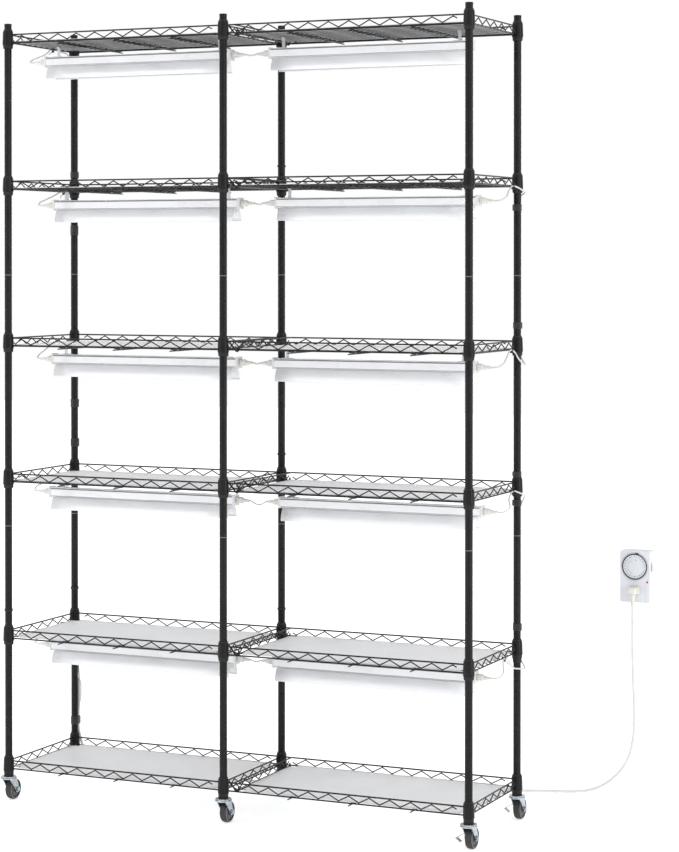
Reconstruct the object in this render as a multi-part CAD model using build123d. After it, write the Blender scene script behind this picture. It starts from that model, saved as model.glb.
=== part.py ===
"""Two-bay, six-tier wire shelving rack on casters, with a grow light under every shelf but the lowest.

Right bay is an add-on: it has posts at its right side only, and hangs on the left bay by S-hooks.
Frame: X along the shelves, Y from front to back, Z up, floor at Z = 0, origin under the middle.
"""
import math
import os

from build123d import *

# Driving dimensions, in millimetres --------------------------------------------------------------
INCH = 25.4
BAY = 23 * INCH            # post axis to post axis along a 24 in shelf
DEPTH = 318.0              # front post axis to back post axis
BAY_GAP = 27.0             # middle post axis to the add-on shelf's empty corner collar
POST_TOP = 1889.0          # top of the post caps
CASTER_HEIGHT = 60.0       # floor to the top of the caster plate
TOP_TIER = 1862.4          # top wire of the highest shelf
TIER_STEPS = (14, 15, 13, 15, 12.5)   # tier to tier, in grooves of one inch

POST_R = 8.9
POST_BORE_R = 7.7
GROOVE_DEPTH = 0.55
GROOVE_HALF = 1.1
POST_SECTION = 24 * INCH   # a post is three of these, one on another
SLEEVE_BEAD_DROP = 8.0     # bead of the sleeve below the top wire

RAIL_R = 1.8
ZIGZAG_R = 1.4
DECK_R = 1.0
TRUSS_HEIGHT = 19.0        # top wire to bottom wire
ZIGZAG_PITCH = 50.8
SIDE_PITCH = 50.3
DECK_WIRES = 11
CROSS_DROP = 25.0          # lower wire of a cross truss below the top wire
ZIGZAG_BEND = 3.0
ZIGZAG_RETREAT = 0.35      # how far a bend cuts inside its corner
WELD_GAP = 0.05            # between wires that are welded where they cross
COLLAR_R = 13.35
LINER = 0.8

LIGHT_LENGTH = 515.0
LIGHT_DROP = 44.0          # top of a light below its shelf's top wire
LIGHT_WIDTH = 26.0
HOUSING_HEIGHT = 23.0
HOOD_WIDTH = 48.0
HOOD_BOTTOM = 54.0         # bottom of the hood below the top of the light
LEFT_LIGHT_START = (14, 38, 34, 26, 28)   # left end of each light from the bay's left plane
RIGHT_LIGHT_START = (19, 35, 29, 45, 29)
CAP_THICKNESS = 5.0
CONNECTOR_REACH = 36.0     # end cap face to the tip of the strain relief
CONNECTOR_DROP = 12.0      # connector axis below the top of the light

WHEEL_R = 25.0
WHEEL_HALF = 9.0
TRAIL = 20.0               # axle behind the swivel axis
AXLE_R = 4.0
CROWN_R = 20.0
STEM_R = 5.0

LINK_R = 1.8               # cord between lights
MAIN_R = 3.5               # mains cord

# The frame is centred on the rack's own box: cord loops reach further left, casters further back.
X_SHIFT = 4.8
Y_SHIFT = -(TRAIL + WHEEL_R - CROWN_R) / 2

X_LEFT = -(2 * BAY + BAY_GAP) / 2 + X_SHIFT
X_MIDDLE = X_LEFT + BAY
X_ADDON = X_MIDDLE + BAY_GAP
X_RIGHT = X_ADDON + BAY
Y_FRONT = -DEPTH / 2 + Y_SHIFT
Y_MID = Y_SHIFT
Y_BACK = DEPTH / 2 + Y_SHIFT

POSTS = {
    "front_left": (X_LEFT, Y_FRONT),
    "front_middle": (X_MIDDLE, Y_FRONT),
    "front_right": (X_RIGHT, Y_FRONT),
    "back_left": (X_LEFT, Y_BACK),
    "back_middle": (X_MIDDLE, Y_BACK),
    "back_right": (X_RIGHT, Y_BACK),
}
BRAKED = ("front_right", "back_right")
TIERS = [TOP_TIER - INCH * sum(TIER_STEPS[:i]) for i in range(len(TIER_STEPS) + 1)]
BAYS = {"left": X_LEFT + BAY / 2, "right": X_ADDON + BAY / 2}


# Helpers -----------------------------------------------------------------------------------------
def save(name, shapes):
    """Write one node: every solid of the given shapes."""
    solids = [solid for shape in shapes for solid in shape.solids()]
    export_step(Compound(solids), f"parts/{name}.step")


def rod(start, end, radius):
    """Straight round rod between two points."""
    axis = Vector(*end) - Vector(*start)
    return extrude(Plane(origin=start, z_dir=axis) * Circle(radius), axis.length)


def bent_wire(points, radius, bends):
    """Round wire along straight runs joined by arcs."""
    path = FilletPolyline(*points, radius=bends)
    start = Plane(origin=path @ 0, z_dir=path % 0)
    return sweep(start * Circle(radius), path=path)


def turned(outline, at=(0, 0)):
    """Solid of revolution about a vertical axis, from (radius, height) points."""
    loop = Polyline(*[(r, 0, z) for r, z in outline], close=True)
    return Pos(at[0], at[1], 0) * revolve(make_face(loop), Axis.Z)


def cord(label, points, radius):
    """Cord tube whose arcs are as large as the runs beside them allow."""
    vectors = [Vector(*point) for point in points]
    runs = [b - a for a, b in zip(vectors, vectors[1:])]
    bends = []
    for before, after in zip(runs, runs[1:]):
        turn = math.radians(before.get_angle(after))
        bends.append(0.45 * min(before.length, after.length) / math.tan(turn / 2))
    tube = bent_wire(points, radius, bends)
    path = FilletPolyline(*points, radius=bends)
    ratio = tube.volume / (math.pi * radius**2 * path.length)
    print(f"{label}: length {path.length:.0f}, volume ratio {ratio:.3f}, tightest radius {min(bends):.1f}")
    print("   radii " + " ".join(f"{bend:.0f}" for bend in bends))
    return tube


def band(circles, wall, height, base):
    """Flat strap round a bundle of (x, y, radius) circles, its lower edge at height base."""
    def outline(grow):
        rings = [Pos(x, y) * Circle(radius + grow) for x, y, radius in circles]
        if len(rings) == 1:
            return rings[0]
        return make_hull([edge for ring in rings for edge in ring.edges()])
    ring = outline(wall) - outline(0.0)
    return Pos(0, 0, base) * extrude(ring, height)


# Shelves -----------------------------------------------------------------------------------------
def half_zigzag(pitch, reach, high, low):
    """Zigzag points along +X between two levels, from a peak at X = 0 with a leg out to reach."""
    half = [(0.0, high)]
    step = 1
    while step * pitch / 2 < reach:
        half.append((step * pitch / 2, low if step % 2 else high))
        step += 1
    last, before = half[-1], (step * pitch / 2, low if step % 2 else high)
    share = (reach - last[0]) / (before[0] - last[0])
    if share > 0.15:
        half.append((reach, last[1] + share * (before[1] - last[1])))
    return half


def zigzag(pitch, near, far, high, low):
    """Zigzag points along X with a peak in the middle, out to near on one side and far on the other."""
    behind = [(-x, z) for x, z in reversed(half_zigzag(pitch, near, high, low)[1:])]
    return [(x, 0, z) for x, z in behind + half_zigzag(pitch, far, high, low)]


def truss(span, pitch, gaps, tails):
    """Edge truss along X: top wire at Z = 0, bottom wire, and the zigzag welded between them.

    gaps says how far both straight wires stop short of the post's axis at each end, and tails how
    far the zigzag does.
    """
    near, far = -span / 2 + gaps[0], span / 2 - gaps[1]
    inside = RAIL_R + ZIGZAG_R + WELD_GAP - ZIGZAG_RETREAT
    points = zigzag(pitch, span / 2 - tails[0], span / 2 - tails[1], -inside, -TRUSS_HEIGHT + inside)
    return [
        rod((near, 0, 0), (far, 0, 0), RAIL_R),
        rod((near, 0, -TRUSS_HEIGHT), (far, 0, -TRUSS_HEIGHT), RAIL_R),
        bent_wire(points, ZIGZAG_R, ZIGZAG_BEND),
    ]


def cross_truss(x):
    """Front-to-back truss under the deck wires: two straight wires with a zigzag beside them."""
    high = -TRUSS_HEIGHT - DECK_R - ZIGZAG_R - WELD_GAP
    low = -CROSS_DROP
    beside = x + 2 * ZIGZAG_R + WELD_GAP
    reach = DEPTH / 2 - 5
    points = [(beside, y, z) for y, _, z in zigzag(SIDE_PITCH, reach, reach, high, low)]
    return [
        rod((x, -reach, high), (x, reach, high), ZIGZAG_R),
        rod((x, -DEPTH / 2 - 2, low), (x, DEPTH / 2 + 2, low), ZIGZAG_R),
        bent_wire(points, ZIGZAG_R, ZIGZAG_BEND),
    ]


def deck():
    """Lengthwise deck wires on three front-to-back trusses."""
    pitch = DEPTH / (DECK_WIRES + 1)
    rows = [pitch * (k - (DECK_WIRES + 1) / 2) for k in range(1, DECK_WIRES + 1)]
    end = BAY / 2 - RAIL_R - 0.15
    wires = [rod((-end, y, -TRUSS_HEIGHT), (end, y, -TRUSS_HEIGHT), DECK_R) for y in rows]
    for x in (-3 * ZIGZAG_PITCH, 0, 3 * ZIGZAG_PITCH):
        wires += cross_truss(x)
    return wires


def collar():
    """Tapered corner collar, its top just above the top wire."""
    return turned([(10.8, 8), (12.2, 8), (12.6, 2), (COLLAR_R, -20), (COLLAR_R, -24),
                   (12.6, -26), (12.0, -26)])


def shelf(add_on):
    """One shelf about its own middle, with the top wire at Z = 0.

    An add-on shelf has no collars at its left end: there its long trusses run on to the middle posts'
    collars and its side truss takes the S-hooks.
    """
    corner = collar()
    held = truss(DEPTH, SIDE_PITCH, (13.6, 13.6), (15.1, 15.1))
    pieces = deck()
    if add_on:
        long_truss = truss(BAY, ZIGZAG_PITCH, (14.6 - BAY_GAP, 13.6), (3.0, 29.0))
        hooked = truss(DEPTH, SIDE_PITCH, (RAIL_R + 0.1, RAIL_R + 0.1), (15.1, 15.1))
        side_trusses = {-1: hooked, 1: held}
    else:
        long_truss = truss(BAY, ZIGZAG_PITCH, (13.6, 13.6), (29.0, 29.0))
        side_trusses = {-1: held, 1: held}
    for side, side_truss in side_trusses.items():
        pieces.extend(Pos(0, side * DEPTH / 2, 0) * wire for wire in long_truss)
        pieces.extend(Pos(side * BAY / 2, 0, 0) * (Rot(0, 0, 90) * wire) for wire in side_truss)
        if side > 0 or not add_on:
            pieces.extend(Pos(side * BAY / 2, end * DEPTH / 2, 0) * corner for end in (-1, 1))
    return pieces


def liner():
    """Deck liner sheet, notched at the corner collars."""
    sheet = Rectangle(BAY - 9, DEPTH - 9)
    for side in (-1, 1):
        for end in (-1, 1):
            sheet -= Pos(side * BAY / 2, end * DEPTH / 2) * Circle(COLLAR_R + 8)
    return extrude(sheet, LINER)


def s_hook():
    """S-hook in the XZ plane: over the top wire on the left, under the bottom wire on the right."""
    wire = 2.0
    loop = RAIL_R + wire + 0.15
    leg = 9.0
    left, right = (-BAY_GAP / 2, 0), (BAY_GAP / 2, -TRUSS_HEIGHT)
    apart = math.hypot(BAY_GAP, TRUSS_HEIGHT)
    leaving = math.pi / 2 - math.asin(2 * loop / apart) - math.atan2(TRUSS_HEIGHT, BAY_GAP)
    middle = (math.pi + leaving) / 2

    def on_loop(centre, sign, angle):
        return (centre[0] + sign * loop * math.cos(angle), centre[1] + sign * loop * math.sin(angle))
    over = [on_loop(left, 1, a) for a in (math.pi, middle, leaving)]
    under = [on_loop(right, -1, a) for a in (leaving, middle, math.pi)]
    curve = (Line((over[0][0], -leg), over[0]) + ThreePointArc(*over) + Line(over[2], under[0])
             + ThreePointArc(*under) + Line(under[2], (under[2][0], under[2][1] + leg)))
    path = Plane.XZ * curve
    start = Plane(origin=(left[0] - loop, 0, -leg), z_dir=(0, 0, 1))
    return sweep(start * Circle(wire), path=path.wire())


# Posts -------------------------------------------------------------------------------------------
def groove_heights():
    """Grooves one inch apart from the top tier down, and one for the lowest sleeve."""
    first = TIERS[0] - SLEEVE_BEAD_DROP + INCH
    lowest = TIERS[-1] - SLEEVE_BEAD_DROP
    count = int((first - lowest) / INCH)
    return [lowest] + [first - INCH * k for k in range(count, -1, -1) if first - INCH * k - lowest > 20]


def post_section(low, high, at):
    """Grooved tube from height low to height high."""
    outline = [(POST_R - 0.4, low), (POST_R, low + 0.6)]
    for z in groove_heights():
        if low + 4 < z < high - 4:
            outline += [(POST_R, z - GROOVE_HALF), (POST_R - GROOVE_DEPTH, z), (POST_R, z + GROOVE_HALF)]
    outline += [(POST_R, high - 0.6), (POST_R - 0.4, high), (POST_BORE_R, high), (POST_BORE_R, low)]
    return turned(outline, at)


FOOT_TOP = CASTER_HEIGHT + 3.0
POST_JOINTS = [CASTER_HEIGHT + POST_SECTION * k for k in (1, 2)]


def post_parts(at):
    """The three sections of a post, from its foot up."""
    ends = [FOOT_TOP] + POST_JOINTS + [POST_TOP - 3.0]
    return [post_section(low + 0.1, high - 0.1, at) for low, high in zip(ends, ends[1:])]


def joint_stud(at, joint):
    """Connector inside the post that joins two of its sections."""
    return turned([(0, joint - 32), (7.1, joint - 32), (7.6, joint - 30),
                   (7.6, joint + 30), (7.1, joint + 32), (0, joint + 32)], at)


def post_cap(at):
    base = POST_TOP - 3.0
    return turned([(0, base - 12), (7.2, base - 12), (7.6, base - 10), (7.6, base + 0.05),
                   (9.3, base + 0.05), (9.3, base + 1.4), (8.2, base + 2.5), (5, POST_TOP), (0, POST_TOP)],
                  at)


def foot_insert(at):
    """Flanged insert in the post's foot, with the bore that takes the caster's stem."""
    base = CASTER_HEIGHT + 0.1
    bore = STEM_R + 0.05
    return turned([(bore, base), (11.8, base), (11.8, FOOT_TOP), (7.6, FOOT_TOP), (7.6, 100),
                   (bore, 100)], at)


def sleeve_halves():
    """Split tapered sleeve under a corner collar, as its two halves, top wire at Z = 0."""
    bore = POST_R + 0.05
    bead = -SLEEVE_BEAD_DROP
    whole = turned([(bore, -34), (11.2, -34), (11.9, -31), (11.9, -26.2), (10.7, 8), (10.5, 12), (bore, 12),
                    (bore, bead + 0.7), (bore - 0.35, bead), (bore, bead - 0.7)])
    halves = whole - Box(40, 1.0, 100)
    return list(halves.solids())


# Grow lights -------------------------------------------------------------------------------------
def light_origins():
    """(tier index, left end x, top z) of every light."""
    found = []
    for index, (left, right) in enumerate(zip(LEFT_LIGHT_START, RIGHT_LIGHT_START)):
        top = TIERS[index] - LIGHT_DROP
        found.append((index, X_LEFT + left, top))
        found.append((index, X_ADDON + right, top))
    return found


def light_housing():
    """Closed channel that holds the driver, open at both ends for the caps."""
    outer = RectangleRounded(LIGHT_WIDTH, HOUSING_HEIGHT, 2.5)
    inner = RectangleRounded(LIGHT_WIDTH - 2.4, HOUSING_HEIGHT - 2.4, 1.5)
    length = LIGHT_LENGTH - 2 * CAP_THICKNESS - 0.2
    tube = extrude(Plane.YZ * (outer - inner), length)
    return Pos(CAP_THICKNESS + 0.1, 0, -HOUSING_HEIGHT / 2) * tube


def reflector_wings():
    """Flared hood: a front and a back wing of sheet under the housing."""
    inset = 12.0
    top, bottom = -HOUSING_HEIGHT - 0.1, -HOOD_BOTTOM
    near, far, sheet = LIGHT_WIDTH / 2 - 1.5, HOOD_WIDTH / 2, 1.0
    wings = []
    for side in (-1, 1):
        outline = Polyline((side * near, top), (side * (near + sheet), top), (side * far, bottom + 3),
                           (side * far, bottom), (side * (far - sheet), bottom),
                           (side * (far - sheet), bottom + 3), close=True)
        wing = extrude(Plane.YZ * make_face(outline), LIGHT_LENGTH - 2 * inset)
        wings.append(Pos(inset, 0, 0) * wing)
    return wings


def light_diffuser():
    """Half-round opal cover under the housing."""
    half = Circle(9) & Pos(0, -4.5) * Rectangle(18, 9)
    bar = extrude(Plane.YZ * half, LIGHT_LENGTH - 30)
    return Pos(15, 0, -HOUSING_HEIGHT - 1.8) * bar


def led_board():
    return Pos(LIGHT_LENGTH / 2, 0, -HOUSING_HEIGHT - 0.9) * Box(LIGHT_LENGTH - 30, 14, 1.6)


def light_driver():
    return Pos(LIGHT_LENGTH / 2, 0, -HOUSING_HEIGHT / 2) * Box(150, 20, 14)


def end_caps():
    """Moulded caps that close both ends of the housing."""
    body = Box(CAP_THICKNESS, LIGHT_WIDTH + 2, HOUSING_HEIGHT + 4)
    body = fillet(body.edges().filter_by(Axis.X), 3)
    plug = Pos(CAP_THICKNESS, 0, 0) * Box(6, LIGHT_WIDTH - 6, HOUSING_HEIGHT - 6)
    cap = Pos(CAP_THICKNESS / 2, 0, -HOUSING_HEIGHT / 2) * (body + plug)
    return [cap, Pos(LIGHT_LENGTH, 0, 0) * (Rot(0, 0, 180) * cap)]


def connector():
    """Lead connector on an end cap, pointing along -X from the cap face, with its strain relief."""
    body = Pos(-9, 0, 0) * Box(18, 13, 14)
    body = fillet(body.edges().filter_by(Axis.X), 2.5)
    taper = Pos(-18, 0, 0) * Rot(0, -90, 0) * Pos(0, 0, 9) * Cone(5.5, 2.6, 18)
    return Pos(-0.1, 0, -CONNECTOR_DROP) * (body + taper)


def hanger_clip():
    """Strip hook over the middle deck wire, with its foot on top of the housing."""
    strip, width = 1.0, 8.0
    reach = LIGHT_DROP - TRUSS_HEIGHT      # deck wire axis above the top of the light
    inner = DECK_R + 0.1
    outer = inner + strip
    foot = Pos(0, 0, 0.1 + strip / 2) * Box(22, 24, strip)
    stem = Pos(0, inner + strip / 2, (reach + 0.1) / 2) * Box(width, strip, reach - 0.1)
    tail = Pos(0, -inner - strip / 2, reach - 2.5) * Box(width, strip, 5)
    ring = (Circle(outer) - Circle(inner)) & Pos(0, outer / 2) * Rectangle(2 * outer, outer)
    loop = Pos(-width / 2, 0, reach) * extrude(Plane.YZ * ring, width)
    return foot + stem + tail + loop


# Cords and their fastenings ----------------------------------------------------------------------
def polar(post, outward, radius, angle, z):
    """Point round a back post: angle runs from straight behind it towards its outer side."""
    turn = math.radians(angle)
    return (post[0] + outward * radius * math.sin(turn), post[1] + radius * math.cos(turn), z)


def light_to_post(post, outward, tip_x, tier, tie_y, hold):
    """Route from a light's outer connector, along the side rail, to the back of its back post."""
    top = TIERS[tier]
    axis = top - LIGHT_DROP - CONNECTOR_DROP
    rail = post[0] + outward * (RAIL_R + LINK_R + 0.3)
    below = hold - 32
    return [
        (tip_x + outward * 0.5, Y_MID, axis),
        (tip_x + outward * 15, Y_MID + 3, axis + 1),
        (tip_x + outward * 21, Y_MID + 22, axis + 9),
        (rail + outward * 6, Y_MID + 0.6 * tie_y, top - 33),
        (rail, Y_MID + tie_y - 11, top - TRUSS_HEIGHT - 0.4),
        (rail + outward * 0.3, Y_MID + tie_y + 11, top - TRUSS_HEIGHT + 0.4),
        (rail + outward * 6.5, Y_BACK - 18.5, top - TRUSS_HEIGHT - 4),
        polar(post, outward, 19, 70, top - 32),
        polar(post, outward, 17.5, 32, top - 32 - 0.2 * below),
        polar(post, outward, 15.5, -2, top - 32 - 0.55 * below),
        polar(post, outward, STRAND, -14.5, top - hold),
    ]


def down_the_post(post, outward, high, low):
    """Points between two heights on a cord strapped to a back post."""
    steps = [21, 37]
    middle = high - low - 2 * sum(steps)
    count = max(1, round(middle / 46))
    steps = steps + [middle / count] * count + steps[::-1]
    heights = [high - sum(steps[:k]) for k in range(1, len(steps))]
    return [polar(post, outward, STRAND, -14.5 + (1.4 if k % 2 else -1.4), z)
            for k, z in enumerate(heights)]


def post_to_light(post, outward, tip_x, tier, tie_y):
    """Route from a back post, past the collar of a tier, along its side rail and into its light."""
    top = TIERS[tier]
    axis = top - LIGHT_DROP - CONNECTOR_DROP
    rail = post[0] + outward * (RAIL_R + LINK_R + 0.3)
    return [
        polar(post, outward, STRAND, -14, top + 15),
        polar(post, outward, 15.6, -9, top + 6.5),
        polar(post, outward, 17, -6, top - 14),
        polar(post, outward, 17, 10, top - 38),
        polar(post, outward, 18.5, 45, top - 53),
        polar(post, outward, 20, 84, top - 57),
        (rail + outward * 11, Y_MID + tie_y + 27, top - 46),
        (rail + outward * 0.3, Y_MID + tie_y + 11, top - TRUSS_HEIGHT - 0.4),
        (rail, Y_MID + tie_y - 11, top - TRUSS_HEIGHT + 0.4),
        (rail + outward * 6, Y_MID + 0.58 * tie_y, top - 33),
        (tip_x + outward * 21, Y_MID + 22, axis + 9),
        (tip_x + outward * 15, Y_MID + 3, axis + 1),
        (tip_x + outward * 0.5, Y_MID, axis),
    ]


STRAND = POST_R + LINK_R + 0.6     # axis of a cord held against a back post


def light_tip(tier, bay, end):
    """X of the tip of a connector's strain relief."""
    start = X_LEFT + LEFT_LIGHT_START[tier] if bay == "left" else X_ADDON + RIGHT_LIGHT_START[tier]
    if end == "left":
        return start - CONNECTOR_REACH - 0.2
    return start + LIGHT_LENGTH + CONNECTOR_REACH + 0.2


# (back post, outward, bay, upper tier, lower tier, tie places on the side rails, first hold below a tier)
LINKS = (
    ("back_left", -1, "left", 0, 1, (59, 110.5), 92),
    ("back_right", 1, "right", 1, 2, (117.5, 109), 54),
    ("back_left", -1, "left", 2, 3, (63, 84), 92),
    ("back_right", 1, "right", 3, 4, (119, 63.5), 92),
)
LEAD_TIE = 101.0           # tie of the lowest left light's lead
JUMPER_SAG = (2.5, 3, 2.5, 9, 4)
MAIN_EXIT = 131.0          # lower edge of the last strap, where the mains cord comes free
COUPLER_LOW, COUPLER_HIGH = 186.0, 246.0
COUPLER_R = 6.5


def link_cords():
    tubes = []
    for name, outward, bay, upper, lower, ties, hold in LINKS:
        post = POSTS[name]
        end = "left" if outward < 0 else "right"
        route = light_to_post(post, outward, light_tip(upper, bay, end), upper, ties[0], hold)
        route += down_the_post(post, outward, TIERS[upper] - hold, TIERS[lower] + 15)
        route += post_to_light(post, outward, light_tip(lower, bay, end), lower, ties[1])
        tubes.append(cord(f"link cord, tiers {upper + 1} to {lower + 1}", route, LINK_R))
    post = POSTS["back_left"]
    route = light_to_post(post, -1, light_tip(4, "left", "left"), 4, LEAD_TIE, 92) + [
        polar(post, -1, STRAND + 1, -16, COUPLER_HIGH + 52),
        polar(post, -1, POST_R + COUPLER_R - 0.4, -14, COUPLER_HIGH + 26),
        polar(post, -1, POST_R + COUPLER_R + 0.6, -15, COUPLER_HIGH + 0.2),
    ]
    tubes.append(cord("lead of the lowest left light", route, LINK_R))
    return tubes


def lead_coupler():
    """Moulded joint between the thin light lead and the thicker mains cord."""
    x, y, _ = polar(POSTS["back_left"], -1, POST_R + COUPLER_R + 0.6, -15, 0)
    low, high = COUPLER_LOW, COUPLER_HIGH
    return turned([(0, low), (MAIN_R + 0.8, low), (COUPLER_R, low + 14), (COUPLER_R, high - 14),
                   (LINK_R + 0.8, high), (0, high)], (x, y))


def jumper_cords():
    tubes = []
    shape = ((0, 0), (0.25, -0.7), (0.52, -1), (0.77, -0.65), (1, 0))
    for tier, sag in enumerate(JUMPER_SAG):
        start, end = light_tip(tier, "left", "right"), light_tip(tier, "right", "left")
        level = TIERS[tier] - LIGHT_DROP - CONNECTOR_DROP
        clear = 0.1 + LINK_R * math.sin(math.atan2(0.7 * sag, 0.25 * (end - start - 1)))
        start, end = start + clear, end - clear
        span = end - start
        route = [(start + u * span, Y_MID + math.sin(math.pi * u), level + v * sag) for u, v in shape]
        tubes.append(cord(f"jumper cord, tier {tier + 1}", route, LINK_R))
    return tubes


# (back post, lower edge, height, whether a cord runs under the strap)
STRAPS = (
    ("back_left", 1524, 16, True), ("back_left", 1379, 24, False), ("back_left", 940, 20, True),
    ("back_left", 840, 20, True), ("back_right", 1431, 15, True), ("back_right", 1155, 15, True),
    ("back_right", 808, 12, False), ("back_right", 739, 14, False), ("back_right", 447, 16, True),
)


def strap(name, base, height, holds_cord, radius=LINK_R):
    """Hook-and-loop strap round a back post and the cord held against it."""
    post = POSTS[name]
    outward = -1 if name == "back_left" else 1
    circles = [(post[0], post[1], POST_R + 0.3)]
    if holds_cord:
        x, y, _ = polar(post, outward, POST_R + radius + 0.6, -14.5, 0)
        circles.append((x, y, radius + 0.55))
    return band(circles, 1.5, height, base)


def rail_tie(x_rail, outward, y, z):
    """Cable tie round a side rail's bottom wire and the cord beside it."""
    loop = band([(0, 0, RAIL_R + 0.25), (outward * (RAIL_R + LINK_R + 0.4), 0, LINK_R + 0.6)], 1.1, 3.0, -1.5)
    return Pos(x_rail, y, z) * (Rot(90, 0, 0) * loop)


def rail_ties():
    places = [(POSTS[name][0], outward, tier, tie) for name, outward, _, upper, lower, ties, _ in LINKS
              for tier, tie in zip((upper, lower), ties)]
    places.append((X_LEFT, -1, 4, LEAD_TIE))
    return [rail_tie(x, outward, Y_MID + tie, TIERS[tier] - TRUSS_HEIGHT)
            for x, outward, tier, tie in places]


def post_ties():
    """Plain ties round posts."""
    places = (("back_middle", 1543, 5), ("back_middle", 838, 5), ("back_middle", 458, 5),
              ("front_left", 462, 5), ("back_left", 476, 6), ("back_right", 372, 8))
    return [band([(*POSTS[name], POST_R + 0.15)], 1.3, height, base) for name, base, height in places]


# Casters -----------------------------------------------------------------------------------------
def caster_plate(at):
    """Top plate with the threaded stem above it and the swivel rivet's head below."""
    top = CASTER_HEIGHT
    return turned([(0, top - 8.7), (6.2, top - 8.7), (7, top - 8.2), (7, top - 6.7), (STEM_R, top - 6.7),
                   (STEM_R, top - 3), (18.4, top - 3), (19, top - 2.4), (19, top - 0.6), (18.4, top),
                   (STEM_R, top), (STEM_R, top + 36), (STEM_R - 1, top + 37), (0, top + 37)], at)


def fork_and_axle(at):
    """Swivelling fork with its axle bolt."""
    x, y = at
    low, high = CASTER_HEIGHT - 6.5, CASTER_HEIGHT - 3.2
    crown = Pos(0, 0, (low + high) / 2) * Cylinder(CROWN_R, high - low)
    crown = fillet(crown.edges().filter_by(GeomType.CIRCLE).sort_by(Axis.Z)[-1], 1.6)
    outline = make_hull((Pos(TRAIL, WHEEL_R) * Circle(7.5)).edges()
                        + (Pos(1.5, high - 1.5) * Rectangle(27, 2)).edges())
    leg = extrude(Plane.YZ * outline, 2.2)
    inner = WHEEL_HALF + 1.2
    body = crown + Pos(inner, 0, 0) * leg + Pos(-inner - 2.2, 0, 0) * leg
    body -= Cylinder(STEM_R + 0.05, 400)
    body -= Pos(0, TRAIL, WHEEL_R) * Rot(0, 90, 0) * Cylinder(AXLE_R + 0.05, 60)
    ends = inner + 2.2
    pin = Pos(0, TRAIL, WHEEL_R) * Rot(0, 90, 0) * Cylinder(AXLE_R, 2 * ends + 4.4)
    head = Pos(0, TRAIL, WHEEL_R) * Rot(0, 90, 0) * Cylinder(5.6, 2.0)
    bolt = pin + Pos(ends + 2.9, 0, 0) * head + Pos(-ends - 2.9, 0, 0) * head
    return [Pos(x, y, 0) * body, Pos(x, y, 0) * bolt]


def wheel(at):
    """Tyre and hub in one moulding, with a rounded tread."""
    w = WHEEL_HALF
    outline = Polyline((AXLE_R + 0.06, -w), (8, -w), (9, -w + 1.6), (17, -w + 1.6), (18, -w + 0.3),
                       (WHEEL_R - 3, -w + 0.3), (WHEEL_R - 0.9, -w + 2.2), (WHEEL_R, -w + 5),
                       (WHEEL_R, w - 5), (WHEEL_R - 0.9, w - 2.2), (WHEEL_R - 3, w - 0.3),
                       (18, w - 0.3), (17, w - 1.6),
                       (9, w - 1.6), (8, w), (AXLE_R + 0.06, w), close=True)
    profile = make_face(Rot(0, 0, -90) * outline)
    turned_wheel = revolve(profile, Axis.X)
    return Pos(at[0], at[1] + TRAIL, WHEEL_R) * turned_wheel


def brake_pedal(at):
    """Folded brake lever on the axle's left end: a ring plate and a V-shaped pedal."""
    inner = WHEEL_HALF + 1.2 + 2.2 + 0.2
    sheet = 1.6
    ring = Circle(7) - Circle(AXLE_R + 0.06)
    neck = Pos(0, 8) * Rectangle(9, 8) - Circle(AXLE_R + 0.06)
    plate = Pos(-inner - sheet, 0, 0) * extrude(Plane.YZ * (ring + neck), sheet)
    outline = Polyline((-inner, 12.0), (-37, -2.2), (-38.2, -3.4), (-37, -4.8), (-26, -13), (-25, -11.8),
                       (-35, -3.6), (-inner, 10.0), close=True)
    fold = Pos(0, 6.5, 0) * extrude(Plane.XZ * make_face(outline), 13)
    return Pos(at[0], at[1] + TRAIL, WHEEL_R) * (plate + fold)


# Timer and mains cord ----------------------------------------------------------------------------
TIMER_X = 778.0 + X_SHIFT
TIMER_FACE_Y = 489.0 + Y_SHIFT     # the plane of the mains cord where it hangs from the plug
TIMER_Z = 541.0
TIMER_WIDTH, TIMER_HEIGHT, TIMER_DEPTH = 76.0, 127.0, 38.0
DIAL_Z = TIMER_Z + 24.8
DIAL_R = 28.9
PLUG_Z = TIMER_Z - 32.0
FACE_Y = TIMER_FACE_Y + 17.0       # front face of the timer


def timer_case():
    body = Box(TIMER_WIDTH, TIMER_DEPTH, TIMER_HEIGHT)
    body = fillet(body.edges().filter_by(Axis.Y), 5.5)
    body = fillet(body.faces().sort_by(Axis.Y)[0].edges(), 1.5)
    body = Pos(TIMER_X, FACE_Y + TIMER_DEPTH / 2, TIMER_Z) * body
    dial_well = Pos(TIMER_X, FACE_Y + 2, DIAL_Z) * Rot(90, 0, 0) * Cylinder(32, 4.02)
    spindle = Pos(TIMER_X, FACE_Y + 8, DIAL_Z) * Rot(90, 0, 0) * Cylinder(3.05, 16)
    slots = [Pos(TIMER_X + side * 6.35, FACE_Y + 9, PLUG_Z) * Box(2.1, 18.1, 7.2) for side in (-1, 1)]
    track = Pos(TIMER_X + TIMER_WIDTH / 2 - 1, FACE_Y + 14, DIAL_Z) * Box(2.02, 6.4, 24)
    lens_hole = Pos(TIMER_X + 31.3, FACE_Y + 1.5, TIMER_Z - 12.2) * Rot(90, 0, 0) * Cylinder(2.55, 3.02)
    return body - dial_well - spindle - slots[0] - slots[1] - track - lens_hole


def ring_at(y, outer, inner, thickness):
    """Flat ring about the dial's axis, its front face at y."""
    ring = Cylinder(outer, thickness) - Cylinder(inner, thickness)
    return Pos(TIMER_X, y + thickness / 2, DIAL_Z) * (Rot(90, 0, 0) * ring)


def timer_bezel():
    return ring_at(FACE_Y - 3.1, 34.3, 31.7, 3.0)


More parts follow.
